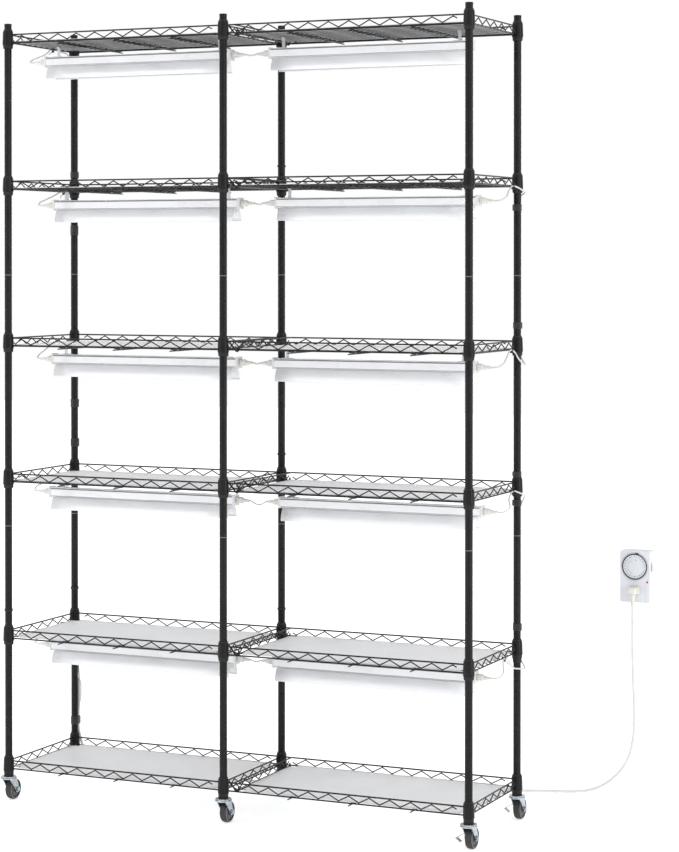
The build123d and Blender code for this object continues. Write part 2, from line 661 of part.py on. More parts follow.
def timer_pointer():
    tip = Polyline((-2.5, 31.4), (2.5, 31.4), (0, 24.5), close=True)
    wedge = extrude(Plane.XZ * make_face(tip), 1.0)
    return Pos(TIMER_X, FACE_Y - 3.3, DIAL_Z) * (Rot(0, 12, 0) * wedge)


def timer_pins():
    """Ring of trip pins that rides on the dial."""
    return ring_at(FACE_Y - 2.0, 31.3, DIAL_R + 0.1, 5.6)


def timer_dial():
    """Number ring with the raised inner knob and the spindle behind."""
    plate = Pos(TIMER_X, FACE_Y + 1.0, DIAL_Z) * Rot(90, 0, 0) * Cylinder(DIAL_R, 5.0)
    knob = Pos(TIMER_X, FACE_Y - 1.8, DIAL_Z) * Rot(90, 0, 0) * Cylinder(22, 1.4)
    spindle = Pos(TIMER_X, FACE_Y + 8.5, DIAL_Z) * Rot(90, 0, 0) * Cylinder(3, 12)
    return plate + knob + spindle


def timer_switch():
    slider = Pos(TIMER_X + TIMER_WIDTH / 2, FACE_Y + 14, DIAL_Z - 3.0) * Box(3.6, 6.0, 16)
    return fillet(slider.edges().filter_by(Axis.Y).sort_by(Axis.X)[-2:], 0.8)


def timer_lens():
    return Pos(TIMER_X + 31.3, FACE_Y + 1.2, TIMER_Z - 12.2) * Rot(90, 0, 0) * Cylinder(2.45, 3.4)


def timer_prongs():
    """Blades and earth pin at the back, for the wall socket."""
    back = FACE_Y + TIMER_DEPTH + 0.05
    blades = [Pos(TIMER_X + side * 6.35, back + 8, TIMER_Z + 6) * Box(1.5, 16, 6.3) for side in (-1, 1)]
    earth = Pos(TIMER_X, back + 9.5, TIMER_Z - 5.9) * Rot(90, 0, 0) * Cylinder(2.4, 19)
    return blades + [earth]


def main_plug():
    """Angled plug in the timer's outlet, its strain relief pointing down, with its two blades."""
    body = Pos(TIMER_X, FACE_Y - 14.1, PLUG_Z) * Box(26, 28, 19)
    body = fillet(body.edges().filter_by(Axis.Y), 4)
    body = fillet(body.faces().sort_by(Axis.Y)[0].edges(), 3)
    relief = Pos(TIMER_X, TIMER_FACE_Y, PLUG_Z - 9.5 - 13) * Cone(MAIN_R + 0.4, 7.5, 26)
    blades = [Pos(TIMER_X + side * 6.35, FACE_Y + 8.4, PLUG_Z) * Box(1.5, 17, 6.3) for side in (-1, 1)]
    return body + relief + blades[0] + blades[1]


FLOOR = MAIN_R + 0.3
# Mains cord route: from the last strap on the back left post, along the floor behind the rack, and up
# to the plug. x and y are from the middle of the rack, before the frame's shift.
MAIN_ROUTE = (
    (-593.6, 174.5, 185.2), (-594.4, 171.6, 166), (-594.2, 171.8, 143), (-594.5, 171.6, 119),
    (-593.1, 176.2, 102), (-589.5, 184, 72), (-582, 201.5, 42), (-571, 220, 17), (-556, 237, 5),
    (-535, 253, FLOOR), (-500, 261, FLOOR), (-452, 257, FLOOR), (-402, 249, FLOOR),
    (-350, 251, FLOOR), (-298, 262, FLOOR), (-246, 272, FLOOR), (-192, 273, FLOOR), (-138, 265, FLOOR),
    (-84, 258, FLOOR), (-30, 261, FLOOR), (24, 274, FLOOR), (76, 292, FLOOR), (128, 308, FLOOR),
    (182, 318, FLOOR), (236, 322, FLOOR), (290, 328, FLOOR), (342, 343, FLOOR), (392, 369, FLOOR),
    (440, 402, FLOOR), (488, 434, FLOOR), (538, 459, FLOOR), (588, 476, FLOOR), (636, 485, FLOOR + 1),
    (678, 488, 13), (715, 489.5, 33), (746, 490, 62), (769, 489, 99), (781, 488, 146), (784, 487.5, 200),
    (781.5, 488, 258), (779, 488.6, 316), (777.8, 489, 372), (778, 489, 420),
)


def main_route():
    """The route in the part's own frame, on to the plug's strain relief."""
    end = (TIMER_X, TIMER_FACE_Y, PLUG_Z - 9.5 - 26)
    points = [(x + X_SHIFT, y + Y_SHIFT, z) for x, y, z in MAIN_ROUTE]
    return points + [end]


# Building ----------------------------------------------------------------------------------------
def build_shelves():
    for bay, x in BAYS.items():
        pieces = shelf(add_on=bay == "right")
        for tier, z in enumerate(TIERS, start=1):
            save(f"shelf_{bay}_{tier}", [Pos(x, Y_MID, z) * piece for piece in pieces])
    sheet = liner()
    under_clip = -TRUSS_HEIGHT + DECK_R + 1.35
    on_wires = -TRUSS_HEIGHT + DECK_R + 0.2
    lifts = [under_clip] * len(LEFT_LIGHT_START) + [on_wires]
    save("shelf_liners", [Pos(x, Y_MID, z + lift) * sheet for x in BAYS.values()
                          for z, lift in zip(TIERS, lifts)])
    hook = s_hook()
    centre = (X_MIDDLE + X_ADDON) / 2
    save("s_hooks", [Pos(centre, y, z) * hook for z in TIERS for y in (Y_FRONT + 18, Y_BACK - 18)])


def build_posts():
    for name, at in POSTS.items():
        save(f"post_{name}", post_parts(at))
    save("post_joint_studs", [joint_stud(at, joint) for at in POSTS.values() for joint in POST_JOINTS])
    save("post_caps", [post_cap(at) for at in POSTS.values()])
    save("foot_inserts", [foot_insert(at) for at in POSTS.values()])
    halves = sleeve_halves()
    save("corner_sleeves", [Pos(x, y, z) * half for x, y in POSTS.values() for z in TIERS for half in halves])


def build_lights():
    places = [Pos(x, Y_MID, z) for _, x, z in light_origins()]
    groups = {
        "light_housings": [light_housing()],
        "light_reflectors": reflector_wings(),
        "light_diffusers": [light_diffuser()],
        "light_electronics": [led_board(), light_driver()],
        "light_end_caps": end_caps(),
        "light_hanger_clips": [Pos(x, 0, 0) * hanger_clip() for x in (34, LIGHT_LENGTH - 34)],
    }
    for name, pieces in groups.items():
        save(name, [place * piece for place in places for piece in pieces])
    left = connector()
    right = Pos(LIGHT_LENGTH, 0, 0) * (Rot(0, 0, 180) * left)
    first_in_chain = places[1]
    plugs = [place * left for place in places]
    plugs += [place * right for place in places if place is not first_in_chain]
    save("light_connectors", plugs)


def build_cords():
    save("jumper_cords", jumper_cords())
    save("link_cords", link_cords())
    save("cord_straps", [strap(*row) for row in STRAPS] + [strap("back_left", MAIN_EXIT, 19, True, MAIN_R)])
    save("cable_ties", rail_ties() + post_ties())
    save("main_cord", [cord("mains cord", main_route(), MAIN_R)])
    save("main_plug", [main_plug()])
    save("lead_coupler", [lead_coupler()])


def build_casters():
    save("caster_plates", [caster_plate(at) for at in POSTS.values()])
    for name, at in POSTS.items():
        save(f"caster_fork_{name}", fork_and_axle(at))
        save(f"caster_wheel_{name}", [wheel(at)])
    for name in BRAKED:
        save(f"brake_pedal_{name}", [brake_pedal(POSTS[name])])


def build_timer():
    save("timer_case", [timer_case()])
    save("timer_bezel", [timer_bezel(), timer_pointer()])
    save("timer_dial", [timer_dial()])
    save("timer_pins", [timer_pins()])
    save("timer_switch", [timer_switch()])
    save("timer_indicator", [timer_lens()])
    save("timer_prongs", timer_prongs())


os.makedirs("parts", exist_ok=True)
build_shelves()
build_posts()
build_lights()
build_cords()
build_casters()
build_timer()
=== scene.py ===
"""Finishes, soft pieces, cord, timer face, light and camera of the wire shelving rack."""
import math
import random

import bmesh
import bpy
from mathutils import Matrix, Vector


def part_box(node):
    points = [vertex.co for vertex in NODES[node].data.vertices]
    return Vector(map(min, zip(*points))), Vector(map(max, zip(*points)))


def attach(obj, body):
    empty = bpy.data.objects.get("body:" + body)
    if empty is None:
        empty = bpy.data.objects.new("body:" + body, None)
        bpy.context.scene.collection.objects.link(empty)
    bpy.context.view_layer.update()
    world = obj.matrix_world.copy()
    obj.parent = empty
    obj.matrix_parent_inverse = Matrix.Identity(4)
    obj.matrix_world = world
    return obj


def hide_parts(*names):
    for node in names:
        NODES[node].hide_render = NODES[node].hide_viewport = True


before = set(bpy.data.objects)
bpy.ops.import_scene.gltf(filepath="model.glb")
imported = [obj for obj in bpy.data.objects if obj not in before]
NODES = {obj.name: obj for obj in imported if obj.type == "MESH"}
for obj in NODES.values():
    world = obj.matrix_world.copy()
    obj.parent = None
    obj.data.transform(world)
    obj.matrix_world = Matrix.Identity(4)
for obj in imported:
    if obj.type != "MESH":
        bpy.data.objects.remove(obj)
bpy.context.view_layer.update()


# Materials ------------------------------------------------------------------------------------
def new_material(name, color, rough, metallic=0.0):
    """A Principled material, with its node tree and shader."""
    material = bpy.data.materials.new(name)
    material.use_nodes = True
    shader = material.node_tree.nodes["Principled BSDF"]
    shader.inputs["Base Color"].default_value = (*color, 1)
    shader.inputs["Roughness"].default_value = rough
    shader.inputs["Metallic"].default_value = metallic
    return material, material.node_tree, shader


def noise_node(tree, scale, detail=3.0, stretch=None):
    """Noise over the row frame, in cycles per metre, drawn out by stretch along each axis."""
    place = tree.nodes.new("ShaderNodeTexCoord")
    noise = tree.nodes.new("ShaderNodeTexNoise")
    noise.inputs["Scale"].default_value = scale
    noise.inputs["Detail"].default_value = detail
    if stretch:
        mapping = tree.nodes.new("ShaderNodeMapping")
        mapping.inputs["Scale"].default_value = stretch
        tree.links.new(place.outputs["Object"], mapping.inputs["Vector"])
        tree.links.new(mapping.outputs["Vector"], noise.inputs["Vector"])
    else:
        tree.links.new(place.outputs["Object"], noise.inputs["Vector"])
    return noise


def ramp_node(tree, source, low, high, start=0.35, end=0.65):
    """Colours or values between low and high, from a factor."""
    ramp = tree.nodes.new("ShaderNodeValToRGB")
    ramp.color_ramp.elements[0].position = start
    ramp.color_ramp.elements[1].position = end
    ramp.color_ramp.elements[0].color = (*low, 1)
    ramp.color_ramp.elements[1].color = (*high, 1)
    tree.links.new(source, ramp.inputs["Fac"])
    return ramp


def add_bump(tree, shader, height, distance, strength=1.0):
    bump = tree.nodes.new("ShaderNodeBump")
    bump.inputs["Distance"].default_value = distance
    bump.inputs["Strength"].default_value = strength
    tree.links.new(height, bump.inputs["Height"])
    tree.links.new(bump.outputs["Normal"], shader.inputs["Normal"])


def mottled(name, low, high, rough, scale, bump_scale, bump, metallic=0.0, stretch=None):
    """Surface whose colour and roughness vary a little, with a fine bump."""
    material, tree, shader = new_material(name, high, rough[0], metallic)
    broad = noise_node(tree, scale, 4.0, stretch)
    colors = ramp_node(tree, broad.outputs["Fac"], low, high)
    tree.links.new(colors.outputs["Color"], shader.inputs["Base Color"])
    shades = ramp_node(tree, broad.outputs["Fac"], (rough[0],) * 3, (rough[1],) * 3, 0.3, 0.7)
    tree.links.new(shades.outputs["Color"], shader.inputs["Roughness"])
    fine = noise_node(tree, bump_scale, 2.0, stretch)
    add_bump(tree, shader, fine.outputs["Fac"], bump)
    return material, tree, shader


def epoxy_black():
    """Black epoxy coat: satin, with the slight orange peel of a baked powder and paler worn spots."""
    material, tree, shader = mottled("epoxy_black", (0.004, 0.004, 0.0045), (0.008, 0.008, 0.009), (0.20, 0.28),
                                     30, 700, 0.00001)
    shader.inputs["Specular IOR Level"].default_value = 0.2
    return material


def moulded_black():
    material, tree, shader = mottled("moulded_black", (0.006, 0.006, 0.0065), (0.012, 0.012, 0.013), (0.44, 0.56),
                                     50, 2200, 0.00008)
    shader.inputs["Specular IOR Level"].default_value = 0.30
    return material


def liner_plastic():
    """Translucent grey-white sheet with a fine frosted grain."""
    material, tree, shader = mottled("liner_plastic", (0.84, 0.845, 0.855), (0.89, 0.895, 0.905), (0.42, 0.55),
                                     9, 900, 0.00006)
    shader.inputs["Transmission Weight"].default_value = 0.2
    shader.inputs["IOR"].default_value = 1.25
    return material


def enamel_white():
    material, tree, shader = mottled("enamel_white", (0.80, 0.81, 0.83), (0.84, 0.85, 0.87), (0.24, 0.34),
                                     12, 500, 0.00005)
    shader.inputs["Coat Weight"].default_value = 0.3
    return material


def reflector_metal():
    """Satin sheet with a faint rolled grain along its length."""
    material, tree, shader = mottled("reflector_metal", (0.80, 0.81, 0.83), (0.84, 0.85, 0.87), (0.32, 0.42),
                                     40, 600, 0.00006, metallic=0.30, stretch=(0.03, 1, 1))
    return material


def opal_white():
    material, tree, shader = mottled("opal_white", (0.86, 0.86, 0.83), (0.91, 0.91, 0.89), (0.38, 0.48),
                                     15, 800, 0.00004)
    shader.inputs["Subsurface Weight"].default_value = 0.15
    shader.inputs["Subsurface Radius"].default_value = (0.004, 0.004, 0.004)
    return material


def plastic_white(name="plastic_white", tint=(1, 1, 1), rough=(0.32, 0.44)):
    low = tuple(0.66 * t for t in tint)
    high = tuple(0.71 * t for t in tint)
    material, tree, shader = mottled(name, low, high, rough, 25, 1500, 0.00004)
    return material


def cord_plastic(name, color):
    """Soft cord jacket, a little uneven in colour and sheen."""
    low = tuple(0.93 * c for c in color)
    material, tree, shader = mottled(name, low, color, (0.42, 0.56), 60, 1200, 0.00010)
    return material


def zinc_bright():
    """Bright zinc plate: pale, mottled, with darker pores."""
    material, tree, shader = mottled("zinc_bright", (0.30, 0.34, 0.37), (0.54, 0.59, 0.63), (0.16, 0.30),
                                     180, 1500, 0.00010, metallic=0.95)
    return material


def plain_steel():
    material, tree, shader = mottled("plain_steel", (0.50, 0.51, 0.53), (0.66, 0.67, 0.69), (0.28, 0.42),
                                     120, 1800, 0.00008, metallic=0.95)
    return material


def tread_rubber():
    """Dark grey wheel moulding, a little uneven in colour and roughness."""
    material, tree, shader = mottled("tread_rubber", (0.016, 0.015, 0.015), (0.034, 0.031, 0.030), (0.55, 0.75),
                                     90, 1600, 0.00020)
    return material


def strap_weave():
    """Black hook-and-loop tape: fuzzy loops in rows."""
    material, tree, shader = new_material("strap_weave", (0.014, 0.014, 0.016), 0.85)
    shader.inputs["Sheen Weight"].default_value = 0.35
    shader.inputs["Sheen Roughness"].default_value = 0.5
    place = tree.nodes.new("ShaderNodeTexCoord")
    cells = tree.nodes.new("ShaderNodeTexVoronoi")
    cells.inputs["Scale"].default_value = 900
    tree.links.new(place.outputs["Object"], cells.inputs["Vector"])
    colors = ramp_node(tree, cells.outputs["Distance"], (0.022, 0.022, 0.024), (0.008, 0.008, 0.009), 0.1, 0.7)
    tree.links.new(colors.outputs["Color"], shader.inputs["Base Color"])
    add_bump(tree, shader, cells.outputs["Distance"], 0.0006)
    return material


def circuit_white():
    material, tree, shader = mottled("circuit_white", (0.62, 0.64, 0.60), (0.75, 0.76, 0.72), (0.4, 0.5),
                                     80, 900, 0.00008)
    return material


def red_lens():
    material, tree, shader = new_material("red_lens", (0.55, 0.02, 0.02), 0.18)
    shader.inputs["Transmission Weight"].default_value = 0.3
    facets = tree.nodes.new("ShaderNodeTexVoronoi")
    facets.inputs["Scale"].default_value = 1400
    place = tree.nodes.new("ShaderNodeTexCoord")
    tree.links.new(place.outputs["Object"], facets.inputs["Vector"])
    add_bump(tree, shader, facets.outputs["Distance"], 0.0002)
    return material


def brass_blade():
    material, tree, shader = mottled("brass_blade", (0.68, 0.55, 0.28), (0.80, 0.66, 0.36), (0.2, 0.34),
                                     150, 1500, 0.00006, metallic=1.0)
    return material


EPOXY = epoxy_black()
MOULDED = moulded_black()
LINER = liner_plastic()
ENAMEL = enamel_white()
REFLECTOR = reflector_metal()
OPAL = opal_white()
CAP_WHITE = plastic_white()
IVORY = plastic_white("plastic_ivory", (0.98, 0.965, 0.90))
TIMER_WHITE = plastic_white("timer_white", (0.95, 0.98, 1.04), (0.30, 0.40))
GREY_CORD = cord_plastic("cord_grey", (0.60, 0.61, 0.59))
WHITE_CORD = cord_plastic("cord_white", (0.68, 0.68, 0.655))
ZINC = zinc_bright()
STEEL = plain_steel()
TREAD = tread_rubber()
STRAP = strap_weave()
CIRCUIT = circuit_white()
LENS = red_lens()
BRASS = brass_blade()
# Paler grey painted as the shadow line along the bottom of each light housing.
EDGE_SHADOW_GREY = plastic_white("edge_shadow_grey", (0.45, 0.46, 0.48))
BEAD_GREY = plastic_white("bead_grey", (0.24, 0.245, 0.26))
SEAM_GREY = plastic_white("seam_grey", (0.42, 0.44, 0.48))
BEZEL_GREY = plastic_white("bezel_grey", (0.64, 0.65, 0.67), (0.18, 0.30))
PRINT = plastic_white("print_black", (0.02, 0.02, 0.025))
SWITCH_GREY = plastic_white("switch_grey", (0.66, 0.54, 0.55))
TREAD_LINE = plastic_white("tread_line", (0.32, 0.32, 0.33), (0.5, 0.6))
HUB_GREY = plastic_white("hub_grey", (0.10, 0.10, 0.11), (0.4, 0.5))


def paint(node, material):
    """Give every face of a CAD node one material."""
    mesh_object = NODES[node]
    if not mesh_object.material_slots:
        mesh_object.data.materials.append(material)
    for place in mesh_object.material_slots:
        place.link = "OBJECT"
        place.material = material


FINISHES = {
    "post_": EPOXY, "shelf_": EPOXY, "s_hooks": EPOXY, "post_caps": MOULDED, "post_joint_studs": STEEL,
    "foot_inserts": MOULDED, "corner_sleeves": MOULDED, "light_housings": ENAMEL,
    "light_reflectors": REFLECTOR, "light_diffusers": OPAL, "light_end_caps": CAP_WHITE,
    "light_electronics": CIRCUIT, "light_connectors": IVORY, "light_hanger_clips": STEEL,
    "link_cords": GREY_CORD, "jumper_cords": GREY_CORD, "lead_coupler": IVORY, "cord_straps": STRAP,
    "cable_ties": MOULDED, "caster_plates": ZINC, "caster_fork": ZINC, "brake_pedal": ZINC,
    "caster_wheel": TREAD, "timer_case": TIMER_WHITE, "timer_bezel": MOULDED, "timer_dial": TIMER_WHITE,
    "timer_pins": MOULDED, "timer_switch": SWITCH_GREY, "timer_indicator": LENS, "timer_prongs": BRASS,
    "main_plug": IVORY, "main_cord": WHITE_CORD, "shelf_liners": LINER,
}
for node_name in NODES:
    fitting = [key for key in FINISHES if node_name.startswith(key)]
    paint(node_name, FINISHES[max(fitting, key=len)])


# Helpers --------------------------------------------------------------------------------------
def mesh_piece(name, bm, materials, body, smooth=True):
    """Turn a bmesh into a named piece that rides on a body."""
    mesh = bpy.data.meshes.new(name)
    bm.to_mesh(mesh)
    bm.free()
    for material in materials:
        mesh.materials.append(material)
    for face in mesh.polygons:
        face.use_smooth = smooth
    piece = bpy.data.objects.new(name, mesh)
    bpy.context.scene.collection.objects.link(piece)
    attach(piece, body)
    return piece


def curve_piece(name, points, radius, material, body):
    """Round tube along one smooth spline whose control points are given in metres."""
    curve = bpy.data.curves.new(name, "CURVE")
    curve.dimensions = "3D"
    curve.bevel_depth = radius
    curve.bevel_resolution = 5
    curve.resolution_u = 8
    curve.use_fill_caps = True
    spline = curve.splines.new("NURBS")
    spline.points.add(len(points) - 1)
    for control, point in zip(spline.points, points):
        control.co = (*point, 1)
    spline.order_u = 3
    spline.use_endpoint_u = True
    curve.materials.append(material)
    piece = bpy.data.objects.new(name, curve)
    bpy.context.scene.collection.objects.link(piece)
    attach(piece, body)
    return piece


def middle(node):
    low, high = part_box(node)
    return (Vector(low) + Vector(high)) / 2


# Mains cord -----------------------------------------------------------------------------------
X_SHIFT, Y_SHIFT = 0.0048, -0.0125
FLOOR = 0.0038
PLUG_LOW = Vector(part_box("main_plug")[0]).z
TIMER_X = middle("timer_dial").x
MAIN_ROUTE = (
    (-0.5936, 0.1745, 0.1852), (-0.5944, 0.1716, 0.166), (-0.5942, 0.1718, 0.143), (-0.5945, 0.1716, 0.119),
    (-0.5931, 0.1762, 0.102), (-0.5895, 0.184, 0.072), (-0.582, 0.2015, 0.042), (-0.571, 0.22, 0.017),
    (-0.556, 0.237, 0.005), (-0.535, 0.253, FLOOR), (-0.5, 0.261, FLOOR), (-0.452, 0.257, FLOOR),
    (-0.402, 0.249, FLOOR), (-0.35, 0.251, FLOOR), (-0.298, 0.262, FLOOR), (-0.246, 0.272, FLOOR),
    (-0.192, 0.273, FLOOR), (-0.138, 0.265, FLOOR), (-0.084, 0.258, FLOOR), (-0.03, 0.261, FLOOR),
    (0.024, 0.274, FLOOR), (0.076, 0.292, FLOOR), (0.128, 0.308, FLOOR), (0.182, 0.318, FLOOR),
    (0.236, 0.322, FLOOR), (0.29, 0.328, FLOOR), (0.342, 0.343, FLOOR), (0.392, 0.369, FLOOR),
    (0.44, 0.402, FLOOR), (0.488, 0.434, FLOOR), (0.538, 0.459, FLOOR), (0.588, 0.476, FLOOR),
    (0.636, 0.485, FLOOR + 0.001), (0.678, 0.488, 0.013), (0.715, 0.4895, 0.033), (0.746, 0.49, 0.062),
    (0.769, 0.489, 0.099), (0.781, 0.488, 0.146), (0.784, 0.4875, 0.2), (0.7815, 0.488, 0.258),
    (0.779, 0.4886, 0.316), (0.7778, 0.489, 0.372), (0.778, 0.489, 0.42),
)
main_points = [(x + X_SHIFT, y + Y_SHIFT, z) for x, y, z in MAIN_ROUTE]
main_points.append((TIMER_X, 0.489 + Y_SHIFT, PLUG_LOW))
main_lead = curve_piece("mains_lead", main_points, 0.0035, WHITE_CORD, "rack")
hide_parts("main_cord")


# Shapes shared by several pieces --------------------------------------------------------------
def islands(node):
    """Boxes of the separate pieces in a CAD node, as (low, high) pairs of points."""
    mesh = NODES[node].data
    owner = list(range(len(mesh.vertices)))

    def find(index):
        while owner[index] != index:
            owner[index] = owner[owner[index]]
            index = owner[index]
        return index

    for edge in mesh.edges:
        one, other = find(edge.vertices[0]), find(edge.vertices[1])
        if one != other:
            owner[one] = other
    groups = {}
    for vertex in mesh.vertices:
        groups.setdefault(find(vertex.index), []).append(vertex.co)
    boxes = [[Vector(map(min, *points)) if len(points) > 1 else points[0].copy(),
              Vector(map(max, *points)) if len(points) > 1 else points[0].copy()]
             for points in groups.values()]
    merged = []
    for low, high in sorted(boxes, key=lambda pair: (pair[0].x, pair[0].z)):
        for known in merged:
            if all(known[0][i] - 1e-4 <= high[i] and low[i] <= known[1][i] + 1e-4 for i in range(3)):
                known[0] = Vector(map(min, known[0], low))
                known[1] = Vector(map(max, known[1], high))
                break
        else:
            merged.append([low, high])
    return merged


def lathe(bm, profile, matrix, segments=48, slot=0):
    """Turn (radius, height) points about the matrix's Z axis; a radius of nought closes the end."""
    rings = []
    for radius, height in profile:
        if radius < 1e-7:
            rings.append([bm.verts.new(matrix @ Vector((0, 0, height)))])
            continue
        turns = [2 * math.pi * k / segments for k in range(segments)]
        ring = [Vector((radius * math.cos(t), radius * math.sin(t), height)) for t in turns]
        rings.append([bm.verts.new(matrix @ point) for point in ring])
    for lower, upper in zip(rings, rings[1:]):
        for k in range(segments):
            nxt = (k + 1) % segments
            corners = [lower[k % len(lower)], lower[nxt % len(lower)],
                       upper[nxt % len(upper)], upper[k % len(upper)]]
            unique = list(dict.fromkeys(corners))
            if len(unique) > 2:
                bm.faces.new(unique).material_index = slot


def bevelled_box(bm, low, high, bevel, matrix=None, segments=3, slot=0):
    """Box between two corners with rounded edges."""
    made = bmesh.ops.create_cube(bm, size=1)["verts"]
    size = Vector(high) - Vector(low)
    centre = (Vector(high) + Vector(low)) / 2
    for vert in made:
        vert.co = Vector(vert.co[i] * size[i] + centre[i] for i in range(3))
    edges = list({edge for vert in made for edge in vert.link_edges})
    before = set(bm.faces) - {face for vert in made for face in vert.link_faces}
    bmesh.ops.bevel(bm, geom=edges, offset=bevel, segments=segments, profile=0.5, affect="EDGES")
    fresh = set(bm.faces) - before
    for face in fresh:
        face.material_index = slot
    if matrix:
        for vert in {vert for face in fresh for vert in face.verts}:
            vert.co = matrix @ vert.co


def strip_between(bm, rows, slot=0):
    """Quads between neighbouring rows of points."""
    made = [[bm.verts.new(point) for point in row] for row in rows]
    for one, other in zip(made, made[1:]):
        for k in range(len(one) - 1):
            bm.faces.new((one[k], one[k + 1], other[k + 1], other[k])).material_index = slot
    return made


def thicken(piece, thickness, offset=0.0):
    solid = piece.modifiers.new("sheet", "SOLIDIFY")
    solid.thickness = thickness
    solid.offset = offset


# Liners ---------------------------------------------------------------------------------------
def make_liners():
    """Thin plastic sheets, notched at the collars, that lie on the deck wires in shallow waves."""
    rng = random.Random(5)
    bm = bmesh.new()
    notch = 0.0208
    for low, high in islands("shelf_liners"):
        level = (low.z + high.z) / 2
        phase = [rng.uniform(0, 6.28) for _ in range(4)]
        columns, rows = 96, 54
        grid = {}
        for i in range(columns + 1):
            for j in range(rows + 1):
                x = low.x + (high.x - low.x) * i / columns
                y = low.y + (high.y - low.y) * j / rows
                near_x = min(x - low.x, high.x - x)
                near_y = min(y - low.y, high.y - y)
                if near_x < notch - 0.0045 and near_y < notch - 0.0045:
                    continue
                wave = 0.00016 * math.sin(21 * x + phase[0]) * math.cos(17 * y + phase[1])
                wave += 0.00010 * math.sin(52 * x + 31 * y + phase[2])
                curl = 0.0005 * max(0, 1 - near_y / 0.02) * (0.5 + 0.5 * math.sin(9 * x + phase[3]))
                grid[i, j] = bm.verts.new((x, y, level + wave + curl))
        for i in range(columns):
            for j in range(rows):
                corners = [(i, j), (i + 1, j), (i + 1, j + 1), (i, j + 1)]
                if all(corner in grid for corner in corners):
                    bm.faces.new([grid[corner] for corner in corners])
    piece = mesh_piece("liner_sheets", bm, [LINER], "rack")
    thicken(piece, 0.0007)
    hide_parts("shelf_liners")


# Lights ---------------------------------------------------------------------------------------
def make_hoods():
    """Curved reflector wings with a rolled lip along the bottom edge."""
    bm = bmesh.new()
    for low, high in islands("light_reflectors"):
        middle_y = Vector(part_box("light_housings")[0]).y + 0.013
        side = -1 if (low.y + high.y) / 2 < middle_y else 1
        near, far = 0.0119, 0.0232
        rows = []
        profile = []
        for k in range(15):
            t = k / 14
            y = near + (far - near) * math.sin(t * math.pi / 2) ** 0.85
            profile.append((y, high.z - 0.0004 - (high.z - low.z - 0.0018) * t))
        lip_y, lip_z = profile[-1]
        for k in range(1, 9):
            turn = k / 8 * math.pi * 1.35
            profile.append((lip_y - 0.0009 * (1 - math.cos(turn)), lip_z - 0.0011 * math.sin(turn)))
        for step in range(9):
            x = low.x + (high.x - low.x) * step / 8
            rows.append([(x, middle_y + side * y, z) for y, z in profile])
        strip_between(bm, rows)
    piece = mesh_piece("light_hoods", bm, [REFLECTOR], "rack")
    thicken(piece, 0.0007)
    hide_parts("light_reflectors")


def make_housing_trim():
    """Grey strips painted as shadow lines along each light's housing, a darker one under the top edge and a paler
    one along the bottom where the hood meets it, and screws on its caps.
    """
    bm = bmesh.new()
    for low, high in islands("light_housings"):
        for side, y in ((-1, low.y), (1, high.y)):
            edge = y + side * 0.00035
            # Darker grey strip painted as the shadow line under the housing's top edge.
            bevelled_box(bm, (low.x + 0.001, edge - 0.0004, high.z - 0.0045),
                         (high.x - 0.001, edge + 0.0004, high.z - 0.0020), 0.0003, segments=1, slot=1)
            # Paler grey strip painted as the shadow line where the hood meets the housing's bottom.
            bevelled_box(bm, (low.x + 0.001, edge - 0.0004, low.z + 0.0012),
                         (high.x - 0.001, edge + 0.0004, low.z + 0.0024), 0.0003, segments=1, slot=0)
        for x, sign in ((low.x - 0.0052, -1), (high.x + 0.0052, 1)):
            turn = Matrix.Translation((x, (low.y + high.y) / 2, low.z + 0.0035)) @ Matrix.Rotation(
                sign * math.pi / 2, 4, "Y")
            lathe(bm, [(0.0, 0.0009), (0.0012, 0.0008), (0.0019, 0.0003), (0.0019, 0.0)], turn, 20, 2)
    mesh_piece("light_shadow_lines_and_screws", bm, [EDGE_SHADOW_GREY, BEAD_GREY, STEEL], "rack")


def make_lamps():
    """Round lamp tubes in their end sockets under each housing."""
    bm = bmesh.new()
    for low, high in islands("light_diffusers"):
        centre_y = (low.y + high.y) / 2
        radius = 0.0072
        level = low.z + radius
        start = Matrix.Translation((low.x, centre_y, level)) @ Matrix.Rotation(math.pi / 2, 4, "Y")
        length = high.x - low.x
        tube = [(0, 0.012), (radius * 0.9, 0.0125), (radius, 0.014), (radius, length - 0.014),
                (radius * 0.9, length - 0.0125), (0, length - 0.012)]
        lathe(bm, tube, start, 24, 0)
        for base in (0.0, length - 0.0132):
            ring = [(0, base), (radius + 0.0008, base + 0.0003), (radius + 0.0013, base + 0.001),
                    (radius + 0.0013, base + 0.0122), (radius + 0.0006, base + 0.013), (0, base + 0.0132)]
            lathe(bm, ring, start, 24, 1)
        bevelled_box(bm, (low.x, centre_y - 0.0085, high.z - 0.0012),
                     (high.x, centre_y + 0.0085, high.z), 0.0004, segments=1, slot=1)
    piece = mesh_piece("lamp_tubes", bm, [OPAL, CAP_WHITE], "rack")
    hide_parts("light_diffusers")


